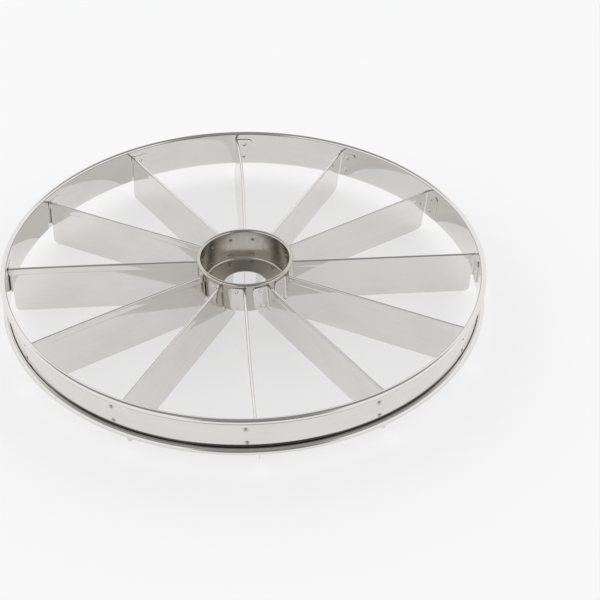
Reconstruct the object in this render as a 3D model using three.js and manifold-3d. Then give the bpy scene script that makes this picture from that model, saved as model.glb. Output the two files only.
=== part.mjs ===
// Pastry portion marker: a round frame of sheet steel whose blades press equal portion lines.
// Millimetres, +Z up. The origin is on the axis, level with the blades' marking edges.
import * as THREE from "three";
import { mergeVertices } from "three/addons/utils/BufferGeometryUtils.js";
import Module from "manifold-3d";

// Sheet steel and the seats of the spot welds
const SHEET = 0.7; // thickness of every sheet
const BEND = 1.0; // inside radius of the bends
const WELD_THICKNESS = 0.16; // fused metal between a tab and the wall behind it
const WELD_CLEARANCE = 0.12; // left on either side of that metal
const WELD_SPOT = 3.2; // diameter of one spot
const WELD_NECK = 1.2; // width of the metal between the two spots of a tab

// Outer band, a strip ring with both edges rolled outwards
const RIM_DIAMETER = 300; // over the upper bead
const UPPER_BEAD = 3.5; // diameter of the upper bead
const LOWER_BEAD = 4.2; // diameter of the lower bead
const BAND_HEIGHT = 26;
const BAND_LIFT = 10; // lower bead above the marking edges
const BEAD_SLIT = 1.0; // between a rolled edge and the wall that it turns back to

// Hub, a pressed cup with a rolled lip and a pierced floor
const HUB_DIAMETER = 60.4; // over the lip
const HUB_BEAD = 2.7; // diameter of the lip
const HUB_SET = 1.2; // lip below the top of the band
const HUB_LIFT = 11.9; // underside of the floor above the marking edges
const HUB_HOLE = 28;
const HUB_CORNER = 2.2; // inside radius between wall and floor

// Blades, strips on edge with a hemmed top edge and a welding tab at either end
const BLADE_COUNT = 12;
const BLADE_SET = 4.8; // top edge below the top of the band
const BLADE_OFFSET = 1.5; // middle of the sheet clockwise of the axis, halfway up the tabs
const BLADE_LEAN = 4.5; // degrees from upright, with the top edge clockwise of the marking edge
const BLADE_TIP = 15; // radius where the marking edge starts
const BLADE_CORNER = 3.6; // radius of the outer lower corner
const HEM = 4.5; // height of the folded top edge
const HEM_CLEARANCE = 0.6; // between the end of the hem and the band
const RIM_TAB = 11; // reach of the outer tab from the middle of the blade
const HUB_TAB = 9.5; // reach of the inner tab
const TAB_DROP = 0.4; // tabs below the top edge of the blade
const TAB_FOOT = 3.9; // lower edge of the tabs above the lower edge of the band
const TAB_CORNER = 3; // radius of the free corners
const RIM_WELD_EDGE = 3.6; // middle of a spot from the end of the outer tab
const HUB_WELD_EDGE = 2.6; // middle of a spot from the end of the inner tab

// Facets of the round forms
const RIM_FACETS = 96;
const HUB_FACETS = 36;
const BEAD_STEPS = 4; // two flats to each step of a bead or a spot
const ARC_STEPS = 2; // two flats to each step of a bend or a corner

// Heights and radii that follow
const HALF = SHEET / 2;
const SEAT_GAP = WELD_THICKNESS + 2 * WELD_CLEARANCE;
const BAND_TOP = BAND_LIFT + BAND_HEIGHT;
const HUB_TOP = BAND_TOP - HUB_SET;
const BLADE_TOP = BAND_TOP - BLADE_SET;
const TAB_TOP = BLADE_TOP - TAB_DROP;
const TAB_BOTTOM = BAND_LIFT + TAB_FOOT;
const TAB_MIDDLE = (TAB_TOP + TAB_BOTTOM) / 2;
const RIM_WALL = RIM_DIAMETER / 2 - UPPER_BEAD; // inner face of the band
const HUB_WALL = HUB_DIAMETER / 2 - HUB_BEAD; // inner face of the hub
const RIM_TAB_RADIUS = RIM_WALL - SEAT_GAP - HALF; // middle of the outer tab's sheet
const HUB_TAB_RADIUS = HUB_WALL + SHEET + SEAT_GAP + HALF; // middle of the inner tab's sheet

// Bends of a blade, seen from above, with the blade lying along +X
const BEND_MIDDLE = BEND + HALF;
const BEND_Y = -BLADE_OFFSET - BEND_MIDDLE;
const RIM_BEND_X = Math.sqrt((RIM_TAB_RADIUS - BEND_MIDDLE) ** 2 - BEND_Y ** 2);
const HUB_BEND_X = Math.sqrt((HUB_TAB_RADIUS + BEND_MIDDLE) ** 2 - BEND_Y ** 2);
const RIM_TAB_END = -BLADE_OFFSET - RIM_TAB;
const HUB_TAB_END = -BLADE_OFFSET - HUB_TAB;

const wasm = await Module();
wasm.setup();

// A closed geometry as a solid that can be joined and cut.
function solid(geometry) {
  const bare = geometry.clone();
  bare.deleteAttribute("normal");
  bare.deleteAttribute("uv");
  const merged = mergeVertices(bare, 1e-5);
  return new wasm.Manifold(
    new wasm.Mesh({
      numProp: 3,
      vertProperties: merged.attributes.position.array,
      triVerts: new Uint32Array(merged.index.array),
    }),
  );
}

function geometryOf(made) {
  const mesh = made.getMesh();
  const geometry = new THREE.BufferGeometry();
  geometry.setAttribute("position", new THREE.BufferAttribute(mesh.vertProperties, 3));
  geometry.setIndex(new THREE.BufferAttribute(mesh.triVerts, 1));
  geometry.computeVertexNormals();
  return geometry;
}

// The path's points as a shape, without the doubled points where two arcs meet.
function outline(path, steps) {
  const points = path.getPoints(steps);
  const apart = points.filter((p, i) => p.distanceTo(points.at(i - 1)) > 1e-4);
  return new THREE.Shape(apart);
}

function extrude(path, length, steps) {
  return new THREE.ExtrudeGeometry(outline(path, steps), { depth: length, bevelEnabled: false });
}

// A shape drawn in Y and Z, running along X.
function alongX(path, from, to, steps = ARC_STEPS) {
  const turn = new THREE.Matrix4().makeBasis(
    new THREE.Vector3(0, 1, 0),
    new THREE.Vector3(0, 0, 1),
    new THREE.Vector3(1, 0, 0),
  );
  return extrude(path, to - from, steps).applyMatrix4(turn).translate(from, 0, 0);
}

// A shape drawn in X and Z, running along Y.
function alongY(path, from, to, steps = ARC_STEPS) {
  return extrude(path, to - from, steps).rotateX(Math.PI / 2).translate(0, to, 0);
}

// A shape drawn in X and Y, running along Z.
function alongZ(path, from, to, steps = ARC_STEPS) {
  return extrude(path, to - from, steps).translate(0, 0, from);
}

// A ring turned from a closed profile drawn in radius and height.
function turned(profile, steps, facets) {
  const points = outline(profile, steps).getPoints();
  if (THREE.ShapeUtils.isClockWise(points)) points.reverse();
  points.push(points[0].clone());
  return new THREE.LatheGeometry(points, facets).rotateX(Math.PI / 2);
}

// Angle from the outward direction at which a rolled edge stops short of the wall.
function beadEnd(radius) {
  return Math.acos((SHEET + BEAD_SLIT) / radius - 1);
}

// The band's wall turns outwards at both edges and each edge rolls back towards the wall.
function bandProfile() {
  const upper = UPPER_BEAD / 2;
  const lower = LOWER_BEAD / 2;
  const high = BAND_TOP - upper;
  const low = BAND_LIFT + lower;
  const upperEnd = beadEnd(upper);
  const lowerEnd = beadEnd(lower);
  const profile = new THREE.Path();
  profile.absarc(RIM_WALL + upper, high, upper, Math.PI, -upperEnd, true);
  profile.absarc(RIM_WALL + upper, high, upper - SHEET, -upperEnd, Math.PI, false);
  profile.absarc(RIM_WALL + lower, low, lower - SHEET, Math.PI, lowerEnd, false);
  profile.absarc(RIM_WALL + lower, low, lower, lowerEnd, Math.PI, true);
  return profile;
}

// The hub's wall rolls outwards at the lip and turns in at the foot to a flat floor with a hole.
function hubProfile() {
  const radius = HUB_BEAD / 2;
  const high = HUB_TOP - radius;
  const end = beadEnd(radius);
  const hole = HUB_HOLE / 2;
  const cornerX = HUB_WALL - HUB_CORNER;
  const cornerZ = HUB_LIFT + SHEET + HUB_CORNER;
  const profile = new THREE.Path();
  profile.moveTo(hole, HUB_LIFT + SHEET);
  profile.lineTo(cornerX, HUB_LIFT + SHEET);
  profile.absarc(cornerX, cornerZ, HUB_CORNER, -Math.PI / 2, 0, false);
  profile.absarc(HUB_WALL + radius, high, radius, Math.PI, -end, true);
  profile.absarc(HUB_WALL + radius, high, radius - SHEET, -end, Math.PI, false);
  profile.absarc(cornerX, cornerZ, HUB_CORNER + SHEET, 0, -Math.PI / 2, true);
  profile.lineTo(hole, HUB_LIFT);
  return profile;
}

// The form of an upright blade or weld made to lean about the middle of the tabs. Each point turns
// about the axis and keeps its radius, so that tabs and welds stay on their round walls.
function leaning(geometry) {
  const slope = Math.tan(THREE.MathUtils.degToRad(BLADE_LEAN));
  const axis = new THREE.Vector3(0, 0, 1);
  const places = geometry.attributes.position;
  const point = new THREE.Vector3();
  for (let i = 0; i < places.count; i++) {
    point.fromBufferAttribute(places, i);
    const sideways = slope * (TAB_MIDDLE - point.z);
    point.applyAxisAngle(axis, sideways / Math.hypot(point.x, point.y));
    places.setXYZ(i, point.x, point.y, point.z);
  }
  geometry.computeVertexNormals();
  return geometry;
}

// The bent strip of a blade seen from above: inner tab, bend, straight run, bend, outer tab.
// The tabs run on past their free ends, which tabTrim cuts.
function bentStrip() {
  const hubTurn = Math.atan2(BEND_Y, HUB_BEND_X);
  const rimTurn = Math.atan2(BEND_Y, RIM_BEND_X);
  const hubStop = Math.asin((HUB_TAB_END - TAB_CORNER) / HUB_TAB_RADIUS);
  const rimStop = Math.asin((RIM_TAB_END - TAB_CORNER) / RIM_TAB_RADIUS);
  const across = Math.PI / 2;
  const strip = new THREE.Path();
  strip.absarc(0, 0, HUB_TAB_RADIUS - HALF, hubStop, hubTurn, false);
  strip.absarc(HUB_BEND_X, BEND_Y, BEND_MIDDLE + HALF, Math.PI + hubTurn, across, true);
  strip.absarc(RIM_BEND_X, BEND_Y, BEND_MIDDLE + HALF, across, rimTurn, true);
  strip.absarc(0, 0, RIM_TAB_RADIUS + HALF, rimTurn, rimStop, true);
  strip.absarc(0, 0, RIM_TAB_RADIUS - HALF, rimStop, rimTurn, false);
  strip.absarc(RIM_BEND_X, BEND_Y, BEND_MIDDLE - HALF, rimTurn, across, false);
  strip.absarc(HUB_BEND_X, BEND_Y, BEND_MIDDLE - HALF, across, Math.PI + hubTurn, false);
  strip.absarc(0, 0, HUB_TAB_RADIUS + HALF, hubTurn, hubStop, true);
  return strip;
}

// The height of a tab with its two free corners rounded, reaching past the blade on the other side.
function tabTrim(end) {
  const trim = new THREE.Path();
  trim.moveTo(SHEET, TAB_BOTTOM);
  trim.lineTo(SHEET, TAB_TOP);
  trim.absarc(end + TAB_CORNER, TAB_TOP - TAB_CORNER, TAB_CORNER, Math.PI / 2, Math.PI, false);
  trim.absarc(end + TAB_CORNER, TAB_BOTTOM + TAB_CORNER, TAB_CORNER, Math.PI, 1.5 * Math.PI, false);
  return trim;
}

// The flat of a blade: full height between the bends, and a foot that runs in under the hub.
function bladeFlat() {
  const footTop = HUB_LIFT - SEAT_GAP;
  const shoulder = BLADE_TOP - HEM / 2;
  const flat = new THREE.Path();
  flat.moveTo(BLADE_TIP, 0);
  flat.lineTo(RIM_BEND_X - BLADE_CORNER, 0);
  flat.absarc(RIM_BEND_X - BLADE_CORNER, BLADE_CORNER, BLADE_CORNER, -Math.PI / 2, 0, false);
  flat.lineTo(RIM_BEND_X, shoulder);
  flat.lineTo(HUB_BEND_X, shoulder);
  flat.lineTo(HUB_BEND_X, footTop);
  flat.lineTo(BLADE_TIP, footTop);
  return flat;
}

// The folded top edge in section: two thicknesses of sheet under a round fold.
function hemSection() {
  const face = -BLADE_OFFSET - HALF;
  const hem = new THREE.Path();
  hem.moveTo(face, BLADE_TOP - HEM);
  hem.lineTo(face + 2 * SHEET, BLADE_TOP - HEM);
  hem.absarc(face + SHEET, BLADE_TOP - SHEET, SHEET, 0, Math.PI, false);
  return hem;
}

function bladeGeometry() {
  const middle = (HUB_BEND_X + RIM_BEND_X) / 2;
  const strip = alongZ(bentStrip(), TAB_BOTTOM, TAB_TOP);
  const innerTrim = solid(alongX(tabTrim(HUB_TAB_END), 0, middle));
  const outerTrim = solid(alongX(tabTrim(RIM_TAB_END), middle, RIM_WALL));
  const flat = alongY(bladeFlat(), -BLADE_OFFSET - HALF, -BLADE_OFFSET + HALF);
  const hem = alongX(hemSection(), HUB_BEND_X, RIM_WALL - HEM_CLEARANCE);
  const tabs = solid(strip).intersect(innerTrim.add(outerTrim));
  return leaning(geometryOf(tabs.add(solid(flat)).add(solid(hem))));
}

// The metal fused between a tab and its wall: two spots, one above the other, and the neck between.
function weldGeometry(radius, end, edge) {
  const spot = WELD_SPOT / 2;
  const neck = Math.asin(WELD_NECK / WELD_SPOT);
  const high = TAB_TOP - edge;
  const low = TAB_BOTTOM + edge;
  const across = Math.PI / 2;
  const weld = new THREE.Path();
  weld.absarc(0, high, spot, -across + neck, 1.5 * Math.PI - neck, false);
  weld.absarc(0, low, spot, across + neck, 2.5 * Math.PI - neck, false);
  const turn = Math.asin((end - BLADE_OFFSET) / 2 / radius);
  const inside = radius - WELD_THICKNESS / 2;
  const outside = radius + WELD_THICKNESS / 2;
  return leaning(alongX(weld, inside, outside, BEAD_STEPS).rotateZ(turn));
}

const polished = { color: 0xd2cfca, roughness: 0.12, metalness: 1 };
const satin = { color: 0xbab4ac, roughness: 0.32, metalness: 1 };
const fused = { color: 0x9c9690, roughness: 0.45, metalness: 1 };

const marker = new THREE.Group();

function place(name, geometry, finish, turn = 0) {
  const mesh = new THREE.Mesh(geometry, new THREE.MeshStandardMaterial(finish));
  mesh.name = name;
  mesh.rotation.z = turn;
  marker.add(mesh);
}

place("outer_band", turned(bandProfile(), BEAD_STEPS, RIM_FACETS), polished);
place("hub_cup", turned(hubProfile(), BEAD_STEPS, HUB_FACETS), satin);

const blade = bladeGeometry();
const rimWeld = weldGeometry(RIM_WALL - SEAT_GAP / 2, RIM_TAB_END, RIM_WELD_EDGE);
const hubWeld = weldGeometry(HUB_WALL + SHEET + SEAT_GAP / 2, HUB_TAB_END, HUB_WELD_EDGE);
for (let i = 0; i < BLADE_COUNT; i++) {
  const number = String(i + 1).padStart(2, "0");
  const turn = (i * 2 * Math.PI) / BLADE_COUNT;
  place("blade_" + number, blade, polished, turn);
  place("rim_weld_" + number, rimWeld, fused, turn);
  place("hub_weld_" + number, hubWeld, fused, turn);
}

export default marker;
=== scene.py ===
# Pastry portion marker of bright stainless sheet, in the order in which the real one is put together.
# Metres, +Z up. The origin is on the axis, level with the blades' marking edges.
import math

import bmesh
import bpy
from mathutils import Matrix, Vector


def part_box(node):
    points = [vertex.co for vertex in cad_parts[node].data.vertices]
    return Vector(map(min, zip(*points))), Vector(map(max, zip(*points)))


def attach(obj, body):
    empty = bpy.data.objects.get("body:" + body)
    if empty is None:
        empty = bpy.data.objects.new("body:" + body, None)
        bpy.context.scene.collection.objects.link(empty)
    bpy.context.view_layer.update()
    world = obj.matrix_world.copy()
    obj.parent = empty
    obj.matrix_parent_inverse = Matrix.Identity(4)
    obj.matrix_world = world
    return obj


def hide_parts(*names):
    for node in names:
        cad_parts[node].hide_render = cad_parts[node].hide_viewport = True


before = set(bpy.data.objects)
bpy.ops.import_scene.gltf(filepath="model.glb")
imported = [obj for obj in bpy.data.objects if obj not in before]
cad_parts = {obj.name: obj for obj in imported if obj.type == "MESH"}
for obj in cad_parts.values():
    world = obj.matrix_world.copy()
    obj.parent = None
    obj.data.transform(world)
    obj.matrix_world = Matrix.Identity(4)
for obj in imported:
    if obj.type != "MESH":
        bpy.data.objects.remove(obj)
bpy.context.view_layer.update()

# Outer band: one strip of bright stainless sheet, rolled up into a ring.
# Both edges are curled outwards into a hollow bead, which stiffens the ring and hides the cut edges.
# The welds that hold the blades leave a faint brown heat tint on it.
MM = 0.001
SHEET = 0.7 * MM
UPPER_CURL = 3.5 * MM  # diameter of the upper curled edge
LOWER_CURL = 4.2 * MM
CURL_SLIT = 0.4 * MM  # between the end of a curl and the wall
BAND_FACETS = 360
CURL_FACETS = 20
SHARP_ANGLE = math.radians(40)  # between faces, above which an edge isn't smoothed
SHEET_MAP = "sheet"  # UV map of the sheet laid out flat, in metres
BLADE_COUNT = 12
BLADE_LEAN = math.tan(math.radians(4.5))  # sideways run of blades and welds, for each unit of height
SPOT = 3.2 * MM  # diameter of a spot weld
BRIGHT_STEEL = (0.82, 0.80, 0.775)
BRIGHT_ROUGHNESS = 0.06
BRIGHT_GRAIN = 0.0005 * MM  # depth of the rolling grain
BRIGHT_RIPPLE = 0.05 * MM  # depth of the sheet's waves
GRAIN = {"along": 45, "across": 2600, "detail": 3.0}  # patterns of the finishes, per metre of strip
STREAK = {"along": 14, "across": 420, "detail": 2.0}
SMEAR = {"along": 34, "across": 52, "detail": 3.0, "turn": 0.5}
HAIRLINE = {"along": 24, "across": 1500, "turn": 0.35}
RIPPLE = {"along": 26, "across": 34}
SMEAR_EDGES = (0.42, 0.72)  # heights of the pattern between which a smear comes up
HAIRLINE_EDGES = (0.70, 0.78)
WORN_SHARE = 0.88  # of the steel's colour, where it is worn
GRAIN_WEAR, STREAK_WEAR, SMEAR_WEAR = 0.35, 0.35, 0.3  # shares of the patterns in that wear
GRAIN_ROUGH, STREAK_ROUGH, SMEAR_ROUGH, HAIRLINE_ROUGH = 0.5, 0.4, 0.7, 1.2  # and in the roughness
LEAST_ROUGH = 0.75  # of a finish's roughness, between its marks
ADDED_ROUGH = 0.6  # of a finish's roughness, where the marks are full
HEAT_TINT = (0.44, 0.365, 0.29)
HEAT_EDGE = 1.5  # reach of the tint around a weld, in radii of the weld
HEAT_FADE = 0.8
HEAT_SHARE = 0.3
PAINTED_CURL_SHADE = (0.15, 0.147, 0.143)  # painted shade in the corner beside a curl
CURL_SHADE_SHARE = 0.9
CURL_SHADE_FADED = 0.5  # sine of the turn from the sides, below which the painted shade fades out
CURL_SHADE_FULL = 0.8  # and above which the painted shade is full
CURL_SHADE_START = 3.2 * MM  # distance from the middle of the curl at which the painted shade starts to fade
CURL_SHADE_END = 4.1 * MM

band_low, band_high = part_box("outer_band")
RIM_WALL = band_high.x - LOWER_CURL  # inner face of the band


class Socket:
    """A shader output that takes part in Python sums, each of which adds a Math node."""

    def __init__(self, tree, output=None):
        self.tree = tree
        self.output = output

    def node(self, kind, settings, inputs, output=0):
        """Adds a node: its settings are set first, then the values or links of its sockets."""
        made = self.tree.nodes.new(kind)
        for setting, value in settings.items():
            setattr(made, setting, value)
        for name, value in inputs.items():
            if isinstance(value, Socket):
                self.tree.links.new(value.output, made.inputs[name])
            else:
                made.inputs[name].default_value = value
        return Socket(self.tree, made.outputs[output] if made.outputs else None)

    def math(self, operation, *values):
        return self.node("ShaderNodeMath", {"operation": operation}, dict(enumerate(values)))

    def __add__(self, other):
        return self.math("ADD", self, other)

    def __sub__(self, other):
        return self.math("SUBTRACT", self, other)

    def __rsub__(self, other):
        return self.math("SUBTRACT", other, self)

    def __mul__(self, other):
        return self.math("MULTIPLY", self, other)

    __radd__ = __add__
    __rmul__ = __mul__

    def place(self):
        """The three Object coordinates of a point."""
        point = self.node("ShaderNodeTexCoord", {}, {}, "Object")
        return [self.node("ShaderNodeSeparateXYZ", {}, {"Vector": point}, axis) for axis in "XYZ"]

    def noise(self, along, across, detail=0.0, turn=0.0):
        """Noise over a map, with its own scale along each direction."""
        placed = self.node(
            "ShaderNodeMapping",
            {},
            {"Vector": self, "Scale": (along, across, 1.0), "Rotation": (0.0, 0.0, turn)},
        )
        return self.node("ShaderNodeTexNoise", {}, {"Vector": placed, "Scale": 1.0, "Detail": detail})

    def ramp(self, low, high):
        """0 below low and 1 above high, with a smooth step between."""
        return self.node(
            "ShaderNodeMapRange",
            {"interpolation_type": "SMOOTHSTEP"},
            {"Value": self, "From Min": low, "From Max": high},
        )

    def along(self, way):
        """How far a vector runs along a direction."""
        return self.node("ShaderNodeVectorMath", {"operation": "DOT_PRODUCT"}, {0: self, 1: way}, 1)

    def mix(self, first, second):
        """A colour between two, with this value as the share of the second."""
        return self.node("ShaderNodeMix", {"data_type": "RGBA"}, {0: self, 6: first, 7: second}, 2)


def opaque(colour):
    return (*colour, 1.0)


def spots_of(node):
    """The low and the high spot of a weld node, each as its turn about the axis and its height."""
    low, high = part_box(node)
    middle = (low + high) / 2
    turn = math.atan2(middle.y, middle.x)
    rise = (high.z - low.z - SPOT) / 2
    lean = BLADE_LEAN * rise / middle.xy.length
    return (turn + lean, middle.z - rise), (turn - lean, middle.z + rise)


def wall_heat(radius, spots):
    """A finish's share of heat tint on a round wall, from the places of its welds."""
    (low_turn, low), (high_turn, high) = spots
    turn = (low_turn + high_turn) / 2
    middle = (low + high) / 2
    half = math.pi / BLADE_COUNT

    def share(start):
        x, y, z = start.place()
        upright = start.math("WRAP", start.math("ARCTAN2", y, x) - turn, half, -half) * radius
        around = upright + (z - middle) * BLADE_LEAN
        up = start.math("ABSOLUTE", z - middle) - (high - low) / 2
        far = start.math("SQRT", around * around + up * up) * (2 / SPOT)
        return HEAT_SHARE - far.ramp(HEAT_EDGE - HEAT_FADE, HEAT_EDGE) * HEAT_SHARE

    return share


def steel(name, colour, roughness, grain_depth, ripple_depth, *tints):
    """Stainless sheet with its grain, smears, scratches and ripple, and tints as shares and colours."""
    material = bpy.data.materials.new(name)
    material.use_nodes = True
    material.node_tree.nodes.clear()
    start = Socket(material.node_tree)
    flat = start.node("ShaderNodeUVMap", {"uv_map": SHEET_MAP}, {})
    grain = flat.noise(**GRAIN)
    streak = flat.noise(**STREAK)
    smear = flat.noise(**SMEAR).ramp(*SMEAR_EDGES)
    hairline = flat.noise(**HAIRLINE).ramp(*HAIRLINE_EDGES)
    ripple = flat.noise(**RIPPLE)
    worn = tuple(WORN_SHARE * part for part in colour)
    wear = grain * GRAIN_WEAR + streak * STREAK_WEAR + smear * SMEAR_WEAR
    shade = wear.mix(opaque(colour), opaque(worn))
    for share, tint in tints:
        shade = share(start).mix(shade, opaque(tint))
    marks = grain * GRAIN_ROUGH + streak * STREAK_ROUGH
    marks = marks + smear * SMEAR_ROUGH + hairline * HAIRLINE_ROUGH
    rough = roughness * LEAST_ROUGH + marks * (roughness * ADDED_ROUGH)
    height = grain * grain_depth + ripple * ripple_depth
    relief = start.node("ShaderNodeBump", {}, {"Height": height, "Distance": 1.0, "Strength": 1.0})
    surface = start.node(
        "ShaderNodeBsdfPrincipled",
        {},
        {"Base Color": shade, "Roughness": rough, "Metallic": 1.0, "Normal": relief},
    )
    start.node("ShaderNodeOutputMaterial", {}, {"Surface": surface})
    return material


def arc(centre, radius, start, stop, facets):
    """Points of a circle in radius and height, from one angle to another."""
    turns = [start + (stop - start) * i / facets for i in range(facets + 1)]
    return [(centre[0] + radius * math.cos(t), centre[1] + radius * math.sin(t)) for t in turns]


def curl_end(radius):
    """Angle from the outward direction at which a curled edge stops short of the wall."""
    return math.acos((SHEET + CURL_SLIT) / radius - 1)


def object_of(name, form):
    """The finished form as an object, smooth but for its sharp edges."""
    mesh = bpy.data.meshes.new(name)
    form.to_mesh(mesh)
    form.free()
    mesh.shade_smooth()
    mesh.set_sharp_from_angle(angle=SHARP_ANGLE)
    piece = bpy.data.objects.new(name, mesh)
    bpy.context.scene.collection.objects.link(piece)
    return piece


def turned(name, profile, facets):
    """A ring turned about the axis from a closed profile, with its sheet laid out flat as a map."""
    around = 2 * math.pi * max(radius for radius, height in profile)
    along = [0.0]
    for one, other in zip(profile, profile[1:] + profile[:1]):
        along.append(along[-1] + math.dist(one, other))
    form = bmesh.new()
    layout = form.loops.layers.uv.new(SHEET_MAP)
    rings = []
    for i in range(facets):
        turn = 2 * math.pi * i / facets
        spoke = Vector((math.cos(turn), math.sin(turn), 0))
        points = [spoke * radius + Vector((0, 0, height)) for radius, height in profile]
        rings.append([form.verts.new(point) for point in points])
    rings.append(rings[0])
    for i in range(facets):
        for j in range(len(profile)):
            k = (j + 1) % len(profile)
            face = form.faces.new((rings[i][j], rings[i + 1][j], rings[i + 1][k], rings[i][k]))
            corners = ((i, j), (i + 1, j), (i + 1, j + 1), (i, j + 1))
            for loop, (column, row) in zip(face.loops, corners):
                loop[layout].uv = (around * column / facets, along[row])
    bmesh.ops.recalc_face_normals(form, faces=form.faces)
    return object_of(name, form)


def fit(piece, material, slot, *nodes):
    """Gives a piece its finish and its place in the frame."""
    piece.data.materials.clear()
    piece.data.materials.append(material)
    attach(piece, "root")
    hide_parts(*nodes)


def band_profile():
    upper = UPPER_CURL / 2
    lower = LOWER_CURL / 2
    high = (RIM_WALL + upper, band_high.z - upper)
    low = (RIM_WALL + lower, band_low.z + lower)
    return [
        *arc(high, upper, math.pi, -curl_end(upper), CURL_FACETS),
        *arc(high, upper - SHEET, -curl_end(upper), math.pi, CURL_FACETS),
        *arc(low, lower - SHEET, -math.pi, curl_end(lower), CURL_FACETS),
        *arc(low, lower, curl_end(lower), -math.pi, CURL_FACETS),
    ]


def band_curl_shade(start):
    """Share of painted shade on the outside of the wall, in the corner beside each curl.

    It is full towards the front and the back, and fades out towards the sides.
    """
    x, y, z = start.place()
    radius = start.math("SQRT", x * x + y * y)
    out = radius - RIM_WALL
    shade_reach = start.math("DIVIDE", start.math("ABSOLUTE", y), radius).ramp(CURL_SHADE_FADED, CURL_SHADE_FULL)
    below = (band_high.z - UPPER_CURL / 2) - z
    above = z - (band_low.z + LOWER_CURL / 2)
    past = start.math("MINIMUM", below, above)
    beside = out.ramp(SHEET / 4, SHEET / 2) - out.ramp(SHEET + CURL_SLIT / 2, SHEET + CURL_SLIT)
    return (past.ramp(-SHEET, 0.0) - past.ramp(CURL_SHADE_START, CURL_SHADE_END)) * beside * shade_reach * CURL_SHADE_SHARE


rim_spots = spots_of("rim_weld_01")
band_steel = steel(
    "band_steel",
    BRIGHT_STEEL,
    BRIGHT_ROUGHNESS,
    BRIGHT_GRAIN,
    BRIGHT_RIPPLE,
    (wall_heat(RIM_WALL + SHEET, rim_spots), HEAT_TINT),
    # painted shade in the corner beside each curl, fading out towards the sides
    (band_curl_shade, PAINTED_CURL_SHADE),
)
band = turned("rolled_band", band_profile(), BAND_FACETS)
fit(band, band_steel, "polished_steel", "outer_band")

# Hub cup: pressed from one disc of the same sheet, with its lip curled outwards like the band.
# Its floor is pierced by a round hole, and the press leaves the inside satin, with fine turned lines.
HUB_RADIUS = 30.2 * MM  # over the lip
LIP = 2.7 * MM  # diameter of the curled lip
HUB_HOLE = 28 * MM
HUB_CORNER = 2.2 * MM  # inside radius between wall and floor
HOLE_EDGE = 0.2 * MM  # rounding of the pierced edge
HUB_FACETS = 180
CORNER_FACETS = 6
SATIN_STEEL = (0.60, 0.575, 0.53)
SATIN_ROUGHNESS = 0.16
SATIN_GRAIN = 0.0008 * MM
SATIN_RIPPLE = 0.03 * MM

hub_low, hub_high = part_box("hub_cup")
HUB_WALL = HUB_RADIUS - LIP  # inner face of the hub


def hub_profile():
    radius = LIP / 2
    end = curl_end(radius)
    lip = (HUB_WALL + radius, hub_high.z - radius)
    corner = (HUB_WALL - HUB_CORNER, hub_low.z + SHEET + HUB_CORNER)
    hole = HUB_HOLE / 2 + HOLE_EDGE
    quarter = math.pi / 2
    return [
        *arc((hole, hub_low.z + SHEET - HOLE_EDGE), HOLE_EDGE, math.pi, quarter, CORNER_FACETS),
        *arc(corner, HUB_CORNER, -quarter, 0, CORNER_FACETS),
        *arc(lip, radius, math.pi, -end, CURL_FACETS),
        *arc(lip, radius - SHEET, -end, math.pi, CURL_FACETS),
        *arc(corner, HUB_CORNER + SHEET, 0, -quarter, CORNER_FACETS),
        *arc((hole, hub_low.z + HOLE_EDGE), HOLE_EDGE, -quarter, -math.pi, CORNER_FACETS),
    ]


hub_spots = spots_of("hub_weld_01")
hub_heat = (wall_heat(HUB_WALL, hub_spots), HEAT_TINT)
satin_steel = steel("satin_steel", SATIN_STEEL, SATIN_ROUGHNESS, SATIN_GRAIN, SATIN_RIPPLE, hub_heat)
hub = turned("pressed_hub", hub_profile(), HUB_FACETS)
fit(hub, satin_steel, "satin_steel", "hub_cup")

# Blades: twelve strips of bright sheet, standing on edge between hub and band and leaning a little.
# The top edge is folded over and pressed flat as a hem, the ends are bent into welding tabs,
# and the plain lower edge marks the portions, with a foot that runs in under the hub.
BLADE_OFFSET = 1.5 * MM  # middle of the sheet clockwise of the axis, halfway up the tabs
BEND = 1.35 * MM  # radius of the bends at the middle of the sheet
SEAT_GAP = 0.05 * MM  # between a tab and the wall that it is welded to
RIM_TAB = 11 * MM  # reach of the outer tab from the middle of the blade
HUB_TAB = 9.5 * MM
TAB_BOTTOM = 13.9 * MM
TAB_DROP = 0.4 * MM  # tabs below the top of the blade
TAB_CORNER = 3 * MM
FOOT_TOP = 11.5 * MM
BLADE_CORNER = 3.6 * MM  # radius of the lower outer corner
HEM = 4.5 * MM
HEM_FOLD = 0.5 * MM  # radius of the fold at the middle of the sheet
HEM_TOUCH = 0.08 * MM  # between the cut edge of the hem and the blade
HEM_GAP = 0.3 * MM  # between an end of the hem and the wall that it runs up to
HEM_CREASE = 0.25 * MM  # step that the pressed hem leaves on the other face
CREASE_RUN = 1.2 * MM  # height over which the crease turns
CREASE_FADE = 6 * MM  # length over which it fades towards the bends
BOWS = (0, 0, -0.45, -1.7, 0.3, 0.5, -0.3, -0.3, -0.35, -0.4, 0.15, 0)  # of the top edges, in mm
BOW_SKEW = 1.6  # over 1, a bow is fullest towards the band
DIMPLE = 0.4 * MM  # depth that the electrode leaves in a tab
DIMPLE_EDGE = 1.05  # of the dimple, in radii of the weld
DIMPLE_SLOPE = 0.55
EDGE_ROUND = 0.12 * MM
EDGE_SEGMENTS = 2
EDGE_ANGLE = math.radians(60)  # between faces, above which an edge is rounded
STRIP_STEP = 0.31  # metres of strip between one blade's map and the next's, so that no two look alike
MERGE = 0.001 * MM  # points closer than this are joined
HEAT_LAYER = "heat"  # share of heat tint at each point of a blade
CELL = 0.3 * MM  # mesh spacing on the tabs
PLATE_COLUMNS = 44
ROUND_STEPS = 8
FOLD_STEPS = 10
FLANGE_ROWS = 4
FOOT_ROWS = 6
NOTCH_ROWS = 2

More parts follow.
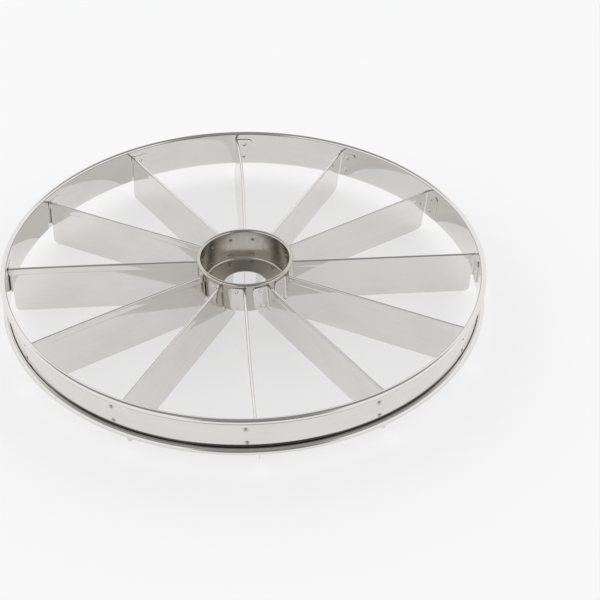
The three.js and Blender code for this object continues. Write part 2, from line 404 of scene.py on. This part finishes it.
blade_low, blade_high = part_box("blade_01")
FOOT_TIP = blade_low.x
RIM_TAB_END = -BLADE_OFFSET - RIM_TAB
HUB_TAB_END = -BLADE_OFFSET - HUB_TAB
TAB_MIDDLE = (blade_high.z - TAB_DROP + TAB_BOTTOM) / 2
FOLD_START = blade_high.z - SHEET / 2 - HEM_FOLD
RIM_TAB_RADIUS = RIM_WALL - SEAT_GAP - SHEET / 2
HUB_TAB_RADIUS = HUB_WALL + SHEET + SEAT_GAP + SHEET / 2
BEND_Y = -BLADE_OFFSET - BEND
RIM_BEND_X = math.sqrt((RIM_TAB_RADIUS - BEND) ** 2 - BEND_Y**2)
HUB_BEND_X = math.sqrt((HUB_TAB_RADIUS + BEND) ** 2 - BEND_Y**2)
HUB_HEM_END = HUB_WALL + SHEET + HEM_GAP
RIM_HEM_END = RIM_WALL - HEM_GAP
TAB_ROWS = round((FOLD_START - TAB_BOTTOM) / CELL)


def smooth(share):
    """A smooth step from 0 to 1."""
    share = min(1.0, max(0.0, share))
    return share * share * (3 - 2 * share)


def steps(start, stop, count):
    return [start + (stop - start) * i / count for i in range(count + 1)]


def corner_steps(start, stop, radius):
    """Places along a strip whose end has rounded corners, closer together towards that end."""
    turn = math.pi / 2 / ROUND_STEPS
    count = max(1, round((stop - start - radius) / CELL))
    return steps(start, stop - radius, count) + [
        stop - radius + radius * math.sin(turn * i) for i in range(1, ROUND_STEPS + 1)
    ]


def corner_drop(place, end, radius):
    """How far a corner of that radius has rounded the edge off at a place near its end."""
    past = min(radius, max(0.0, place - (end - radius)))
    return radius - math.sqrt(radius * radius - past * past)


def tab_line(bend_x, radius, end_y, facing):
    """Middle line of a tab from above: round the bend, then along the wall to the free end."""
    turn = math.atan2(BEND_Y, bend_x)
    length = radius * abs(math.asin(end_y / radius) - turn)
    bend = arc((bend_x, BEND_Y), BEND, math.pi / 2, facing + turn, ROUND_STEPS)
    places = corner_steps(0.0, length, TAB_CORNER)
    turns = [turn - place / radius for place in places]
    wall = [(radius * math.cos(t), radius * math.sin(t)) for t in turns]
    return bend + wall[1:], places[-1]


def tab_patch(bend_x, radius, end_y, facing):
    """Grid of a tab: its bend, its flat with two rounded corners and a dimple at each spot."""
    line, length = tab_line(bend_x, radius, end_y, facing)
    grid = []
    gone = 0.0
    bend_length = BEND * abs(facing + math.atan2(BEND_Y, bend_x) - math.pi / 2)
    for i, (x, y) in enumerate(line):
        gone += math.dist(line[i], line[i - 1]) if i else 0.0
        drop = corner_drop(gone, bend_length + length, TAB_CORNER)
        top = FOLD_START + (blade_high.z - TAB_DROP - FOLD_START) * smooth(gone / bend_length)
        away = bend_x + (gone if facing == 0 else -gone)
        grid.append([(Vector((x, y, z)), away) for z in steps(TAB_BOTTOM + drop, top - drop, TAB_ROWS)])
    return grid


def sway(x, z, bow):
    """Sideways step of the blade: the crease below the hem and a slight bow, both gone at the bends."""
    share = (x - HUB_BEND_X) / (RIM_BEND_X - HUB_BEND_X)
    ends = smooth((x - HUB_BEND_X) / CREASE_FADE) * smooth((RIM_BEND_X - x) / CREASE_FADE)
    crease = smooth((z - blade_high.z + HEM + CREASE_RUN / 2) / CREASE_RUN)
    bowed = math.sin(math.pi * share**BOW_SKEW) if 0 < share < 1 else 0.0
    return bow * bowed * z / blade_high.z - HEM_CREASE * crease * ends


def plate_patch(bow):
    """Grid of the flat between the bends, with its rounded lower outer corner."""
    turn = math.pi / 2 / ROUND_STEPS
    straight = RIM_BEND_X - BLADE_CORNER
    columns = steps(HUB_BEND_X, straight, PLATE_COLUMNS)
    columns += [straight + BLADE_CORNER * math.sin(turn * i) for i in range(1, ROUND_STEPS + 1)]
    grid = []
    for x in columns:
        low = corner_drop(x, RIM_BEND_X, BLADE_CORNER)
        heights = steps(low, FOOT_TOP, FOOT_ROWS)
        heights += steps(FOOT_TOP, TAB_BOTTOM, NOTCH_ROWS)[1:]
        heights += steps(TAB_BOTTOM, FOLD_START, TAB_ROWS)[1:]
        grid.append([(Vector((x, sway(x, z, bow) - BLADE_OFFSET, z)), x) for z in heights])
    return grid


def foot_patch():
    columns = steps(FOOT_TIP, HUB_BEND_X, ROUND_STEPS)
    heights = steps(0.0, FOOT_TOP, FOOT_ROWS)
    return [[(Vector((x, -BLADE_OFFSET, z)), x) for z in heights] for x in columns]


def hem_patch(columns, bow):
    """Grid of the hem: over the fold and down to the cut edge, which nearly touches the blade."""
    grid = []
    inner = steps(HUB_HEM_END, HUB_BEND_X, 2)[:-1]
    outer = steps(RIM_BEND_X, RIM_HEM_END, 2)[1:]
    for x in inner + columns + outer:
        y = sway(x, FOLD_START, bow) - BLADE_OFFSET + HEM_FOLD
        section = arc((y, FOLD_START), HEM_FOLD, math.pi, 0, FOLD_STEPS)
        cut = (y - HEM_FOLD + SHEET + HEM_TOUCH, blade_high.z - HEM)
        down = steps(0.0, 1.0, FLANGE_ROWS)[1:]
        section += [tuple(Vector(section[FOLD_STEPS]).lerp(Vector(cut), share)) for share in down]
        grid.append([(Vector((x, across, height)), x) for across, height in section])
    return grid


def leaning(point):
    """A point of the upright blade moved to where the blade leans, at the same radius."""
    sideways = BLADE_LEAN * (TAB_MIDDLE - point.z)
    return Matrix.Rotation(sideways / point.xy.length, 3, "Z") @ point


def dimpled(point):
    """The point moved by the electrodes, and the share of heat tint that they leave there."""
    heat = 0.0
    moved = point.copy()
    for spots, radius, way in ((rim_spots, RIM_TAB_RADIUS, 1), (hub_spots, HUB_TAB_RADIUS, -1)):
        for turn, height in spots:
            out = Vector((math.cos(turn), math.sin(turn), 0))
            far = (point - out * radius - Vector((0, 0, height))).length / (SPOT / 2)
            moved += out * way * DIMPLE * smooth((DIMPLE_EDGE - far) / DIMPLE_SLOPE)
            heat = max(heat, HEAT_SHARE * smooth((HEAT_EDGE - far) / HEAT_FADE))
    return moved, heat


def blade_form(number, bow):
    """The sheet of a blade, turned to its place, with its flat layout as a map."""
    plate = plate_patch(bow)
    columns = [column[0][1] for column in plate]
    patches = [
        plate,
        foot_patch(),
        hem_patch(columns, bow),
        tab_patch(RIM_BEND_X, RIM_TAB_RADIUS, RIM_TAB_END, 0),
        tab_patch(HUB_BEND_X, HUB_TAB_RADIUS, HUB_TAB_END, math.pi),
    ]
    form = bmesh.new()
    layout = form.loops.layers.uv.new(SHEET_MAP)
    tint = form.verts.layers.float.new(HEAT_LAYER)
    turn = Matrix.Rotation(2 * math.pi * (number - 1) / BLADE_COUNT, 3, "Z")
    for grid in patches:
        rows = []
        for column in grid:
            made = []
            for point, away in column:
                moved, heat = dimpled(leaning(point))
                vertex = form.verts.new(turn @ moved)
                vertex[tint] = heat
                made.append((vertex, (away + STRIP_STEP * number, point.z)))
            rows.append(made)
        for left, right in zip(rows, rows[1:]):
            for j in range(len(left) - 1):
                corners = (left[j], right[j], right[j + 1], left[j + 1])
                face = form.faces.new([vertex for vertex, uv in corners])
                for loop, (vertex, uv) in zip(face.loops, corners):
                    loop[layout].uv = uv
    bmesh.ops.remove_doubles(form, verts=form.verts, dist=MERGE)
    bmesh.ops.recalc_face_normals(form, faces=form.faces)
    return form


def baked(piece):
    """The piece with its modifiers made into its mesh."""
    graph = bpy.context.evaluated_depsgraph_get()
    mesh = bpy.data.meshes.new_from_object(piece.evaluated_get(graph), depsgraph=graph)
    piece.modifiers.clear()
    piece.data = mesh
    return piece


def blade(number, bow):
    piece = object_of(f"hemmed_blade_{number:02d}", blade_form(number, bow))
    wall = piece.modifiers.new("wall", "SOLIDIFY")
    wall.thickness = SHEET
    wall.offset = 0.0
    wall.use_even_offset = True
    edge = piece.modifiers.new("edge", "BEVEL")
    edge.width = EDGE_ROUND
    edge.segments = EDGE_SEGMENTS
    edge.limit_method = "ANGLE"
    edge.angle_limit = EDGE_ANGLE
    piece.modifiers.new("faces", "WEIGHTED_NORMAL")
    baked(piece)
    for vertex in piece.data.vertices:
        vertex.co.z = max(vertex.co.z, blade_low.z)
    return piece


def blade_heat(start):
    return start.node("ShaderNodeAttribute", {"attribute_name": HEAT_LAYER}, {}, "Fac")


blade_steel = steel(
    "blade_steel",
    BRIGHT_STEEL,
    BRIGHT_ROUGHNESS,
    BRIGHT_GRAIN,
    BRIGHT_RIPPLE,
    (blade_heat, HEAT_TINT),
)
for number, bow in enumerate(BOWS, 1):
    strip = blade(number, bow * MM)
    fit(strip, blade_steel, "polished_steel", f"blade_{number:02d}")

# Spot welds: two on every tab, struck through the tab and the wall behind it.
# The fused metal is darkened by the heat and shows behind the wall as a small pit with a raised rim.
SPOTS_PER_TAB = 2
NUGGET = 1.8 * MM  # diameter of the fused core
NUGGET_END = SHEET / 4  # of the core, short of the face with the crater
CRATER = 2.0 * MM  # diameter of the pit's rim
CRATER_HEIGHT = 0.36 * MM
CRATER_SECTION = (  # shares of the radius and of the height, from the wall over the rim to the middle
    (1.0, 0.0),
    (0.94, 0.7),
    (0.86, 1.0),
    (0.74, 0.85),
    (0.4, 0.3),
    (0.2, 0.1),
    (0.0, 0.05),
)
CRATER_CORE = 0.35  # shares of the crater's radius over which the bright core turns brown
CRATER_BROWN = 0.75
WELD_FACETS = 24
WELD_METAL = (0.50, 0.485, 0.46)
WELD_ROUGHNESS = 0.16
WELD_GRAIN = 0.002 * MM


def crater_heat(start):
    flat = start.node("ShaderNodeUVMap", {"uv_map": SHEET_MAP}, {})
    far = start.node("ShaderNodeVectorMath", {"operation": "LENGTH"}, {0: flat}, 1) * (2 / CRATER)
    return far.ramp(CRATER_CORE, CRATER_BROWN) * HEAT_SHARE


def weld_template(name, start, face):
    """One weld along +X: its core from the seat through the wall, and the crater on the far face."""
    sign = 1 if face > start else -1
    profile = [(0.0, start), (NUGGET / 2, start), (NUGGET / 2, face - sign * NUGGET_END)]
    profile += [(CRATER / 2 * away, face + sign * CRATER_HEIGHT * up) for away, up in CRATER_SECTION]
    form = bmesh.new()
    layout = form.loops.layers.uv.new(SHEET_MAP)
    rings = []
    for away, x in profile:
        turns = [2 * math.pi * i / WELD_FACETS for i in range(WELD_FACETS)]
        rings.append([form.verts.new((x, away * math.cos(t), away * math.sin(t))) for t in turns])
    for ring, after in zip(rings, rings[1:]):
        for i in range(WELD_FACETS):
            k = (i + 1) % WELD_FACETS
            form.faces.new((ring[i], ring[k], after[k], after[i]))
    for face_made in form.faces:
        for loop in face_made.loops:
            loop[layout].uv = (loop.vert.co.y, loop.vert.co.z)
    bmesh.ops.remove_doubles(form, verts=form.verts, dist=MERGE)
    bmesh.ops.recalc_face_normals(form, faces=form.faces)
    return object_of(name, form)


def weld_ring_tree(name):
    """Geometry nodes that set a template on a ring of points at two heights, facing outwards."""
    tree = bpy.data.node_groups.new(name, "GeometryNodeTree")
    sockets = {}
    for label, kind in (
        ("Template", "NodeSocketObject"),
        ("Count", "NodeSocketInt"),
        ("Low Turn", "NodeSocketFloat"),
        ("Low", "NodeSocketFloat"),
        ("High Turn", "NodeSocketFloat"),
        ("High", "NodeSocketFloat"),
        ("Metal", "NodeSocketMaterial"),
    ):
        sockets[label] = tree.interface.new_socket(label, in_out="INPUT", socket_type=kind).identifier
    tree.interface.new_socket("Welds", in_out="OUTPUT", socket_type="NodeSocketGeometry")
    given = tree.nodes.new("NodeGroupInput")
    result = tree.nodes.new("NodeGroupOutput")

    def node(kind, settings, inputs):
        made = tree.nodes.new(kind)
        for setting, value in settings.items():
            setattr(made, setting, value)
        for socket, value in inputs:
            if isinstance(value, bpy.types.NodeSocket):
                tree.links.new(value, made.inputs[socket])
            else:
                made.inputs[socket].default_value = value
        return made.outputs

    def math_of(operation, first, second):
        return node("ShaderNodeMath", {"operation": operation}, [(0, first), (1, second)])[0]

    count = given.outputs["Count"]
    template = node(
        "GeometryNodeObjectInfo",
        {"transform_space": "RELATIVE"},
        [("Object", given.outputs["Template"])],
    )
    index = node("GeometryNodeInputIndex", {}, [])
    total = math_of("MULTIPLY", count, SPOTS_PER_TAB)
    points = node("GeometryNodeMeshLine", {}, [("Count", total), ("Offset", (0.0, 0.0, 0.0))])
    spoke = math_of("MULTIPLY", index[0], math_of("DIVIDE", 2 * math.pi, count))
    upper = math_of("LESS_THAN", index[0], count)
    turn, height = (
        node(
            "ShaderNodeMix",
            {"data_type": "FLOAT"},
            [(0, upper), (2, given.outputs[low]), (3, given.outputs[high])],
        )
        for low, high in (("Low Turn", "High Turn"), ("Low", "High"))
    )
    place = node("ShaderNodeCombineXYZ", {}, [("Z", height[0])])
    lifted = node("GeometryNodeSetPosition", {}, [("Geometry", points[0]), ("Position", place[0])])
    facing = node("ShaderNodeCombineXYZ", {}, [("Z", math_of("ADD", spoke, turn[0]))])
    welds = node(
        "GeometryNodeInstanceOnPoints",
        {},
        [("Points", lifted[0]), ("Instance", template["Geometry"]), ("Rotation", facing[0])],
    )
    whole = node("GeometryNodeRealizeInstances", {}, [("Geometry", welds[0])])
    metal = node(
        "GeometryNodeSetMaterial",
        {},
        [("Geometry", whole[0]), ("Material", given.outputs["Metal"])],
    )
    tree.links.new(metal[0], result.inputs[0])
    return tree, sockets


def weld_ring(name, template, spots, metal):
    (low_turn, low), (high_turn, high) = spots
    piece = bpy.data.objects.new(name, bpy.data.meshes.new(name))
    bpy.context.scene.collection.objects.link(piece)
    ring = piece.modifiers.new("ring", "NODES")
    ring.node_group = weld_tree
    values = {
        "Template": template,
        "Count": BLADE_COUNT,
        "Low Turn": low_turn,
        "Low": low,
        "High Turn": high_turn,
        "High": high,
        "Metal": metal,
    }
    for label, value in values.items():
        ring[weld_sockets[label]] = value
    baked(piece)
    bpy.data.objects.remove(template)
    return piece


weld_metal = steel("weld_metal", WELD_METAL, WELD_ROUGHNESS, WELD_GRAIN, 0.0, (crater_heat, HEAT_TINT))
weld_tree, weld_sockets = weld_ring_tree("weld_ring")
numbers = [f"{number:02d}" for number in range(1, BLADE_COUNT + 1)]
rim_template = weld_template("rim_weld_template", RIM_WALL, RIM_WALL + SHEET)
rim_welds = weld_ring("rim_spot_welds", rim_template, rim_spots, weld_metal)
fit(rim_welds, weld_metal, "weld_metal", *[f"rim_weld_{number}" for number in numbers])
hub_template = weld_template("hub_weld_template", HUB_WALL + SHEET, HUB_WALL)
hub_welds = weld_ring("hub_spot_welds", hub_template, hub_spots, weld_metal)
fit(hub_welds, weld_metal, "weld_metal", *[f"hub_weld_{number}" for number in numbers])

# Floor and light: a plain pale floor within white walls, dim overhead and behind the camera.
# The steel and the camera see the floor a little whiter than it is lit, and it keeps a soft shadow.
FLOOR_SIZE = 12.0
FLOOR_DROP = 0.05 * MM  # below the marking edges
FLOOR_COLOUR = (0.93, 0.93, 0.93)
FLOOR_WHITE = (1.0, 1.0, 1.0)
FLOOR_SHARE = 0.6  # of plain white in the floor that is seen
WALLS = (1.0, 1.0, 1.0)
WALL_LIGHT = 1.55  # of the walls on the floor, as a share of how bright they are seen
CEILING = (0.31, 0.31, 0.315)
GAP = (0.25, 0.25, 0.255)  # in the walls, behind the camera
WALL_TOP = math.radians(46)  # height of the white walls, as seen from the marker
WALL_BLUR = math.radians(3)
GAP_TURN = math.radians(275)  # direction of the middle of the gap, as seen from the marker
GAP_RISE = math.radians(22)
GAP_INSIDE = math.radians(24)  # angles from that direction between which the gap ends
GAP_OUTSIDE = math.radians(34)


def seen(start):
    """1 for what the camera sees, straight or in the steel, and 0 for light on the floor."""
    straight = start.node("ShaderNodeLightPath", {}, {}, "Is Camera Ray")
    mirrored = start.node("ShaderNodeLightPath", {}, {}, "Is Glossy Ray")
    through = start.node("ShaderNodeLightPath", {}, {}, "Is Transmission Ray")
    return start.math("MAXIMUM", straight, start.math("MAXIMUM", mirrored, through))


floor_form = bmesh.new()
bmesh.ops.create_grid(floor_form, x_segments=2, y_segments=2, size=FLOOR_SIZE / 2)
floor = object_of("floor", floor_form)
floor.location.z = -FLOOR_DROP
floor_paint = bpy.data.materials.new("pale_floor")
floor_paint.use_nodes = True
floor_paint.node_tree.nodes.clear()
ground = Socket(floor_paint.node_tree)
lit = ground.node("ShaderNodeBsdfDiffuse", {}, {"Color": opaque(FLOOR_COLOUR)})
white = ground.node("ShaderNodeEmission", {}, {"Color": opaque(FLOOR_WHITE), "Strength": 1.0})
shown = ground.node("ShaderNodeMixShader", {}, {0: seen(ground) * FLOOR_SHARE, 1: lit, 2: white})
ground.node("ShaderNodeOutputMaterial", {}, {"Surface": shown})
floor.data.materials.append(floor_paint)

surround = bpy.data.worlds.new("white_walls")
surround.use_nodes = True
surround.node_tree.nodes.clear()
sky = Socket(surround.node_tree)
way = sky.node("ShaderNodeTexCoord", {}, {}, "Generated")
up = (0.0, 0.0, 1.0)
above = way.along(up).ramp(math.sin(WALL_TOP - WALL_BLUR), math.sin(WALL_TOP + WALL_BLUR))
gap_middle = (
    math.cos(GAP_RISE) * math.cos(GAP_TURN),
    math.cos(GAP_RISE) * math.sin(GAP_TURN),
    math.sin(GAP_RISE),
)
in_gap = way.along(gap_middle).ramp(math.cos(GAP_OUTSIDE), math.cos(GAP_INSIDE))
glow = above.mix(in_gap.mix(opaque(WALLS), opaque(GAP)), opaque(CEILING))
light = WALL_LIGHT - seen(sky) * (WALL_LIGHT - 1.0)
backdrop = sky.node("ShaderNodeBackground", {}, {"Color": glow, "Strength": light})
sky.node("ShaderNodeOutputWorld", {}, {"Surface": backdrop})
bpy.context.scene.world = surround
bpy.context.scene.view_settings.view_transform = "Standard"

# Camera: where the photograph was taken from, worked out from the band, the hub and the blades.
# The picture is square, and the camera looks down at the marker by about 36 degrees.
PICTURE = 600  # pixels on each side
FOCAL_PIXELS = 1282.1
SENSOR = 36.0  # millimetres
CAMERA_DISTANCE = 799.8 * MM  # from the middle of the band's top
CAMERA_RISE = math.radians(36.178)
CAMERA_ROLL = math.radians(1.008)
MARKER_TURN = math.radians(2.503)  # of the marker, as the camera sees it
AIM_ACROSS = -54.526  # pixels from the middle of the picture to the marker's axis
AIM_UP = -46.325

photo = bpy.data.cameras.new("photo_camera")
photo.sensor_width = SENSOR
photo.lens = FOCAL_PIXELS / PICTURE * SENSOR
camera = bpy.data.objects.new("photo_camera", photo)
bpy.context.scene.collection.objects.link(camera)
back = Vector((0, -math.cos(CAMERA_RISE), math.sin(CAMERA_RISE)))
right = Vector((1, 0, 0))
ahead = -back - right * AIM_ACROSS / FOCAL_PIXELS + right.cross(-back) * AIM_UP / FOCAL_PIXELS
ahead.normalize()
level = ahead.cross(Vector((0, 0, 1))).normalized()
upright = level.cross(ahead)
across = level * math.cos(CAMERA_ROLL) + upright * math.sin(CAMERA_ROLL)
upward = upright * math.cos(CAMERA_ROLL) - level * math.sin(CAMERA_ROLL)
stand = Matrix((across, upward, -ahead)).transposed().to_4x4()
stand.translation = back * CAMERA_DISTANCE + Vector((0, 0, band_high.z))
camera.matrix_world = Matrix.Rotation(-MARKER_TURN, 4, "Z") @ stand
bpy.context.scene.camera = camera
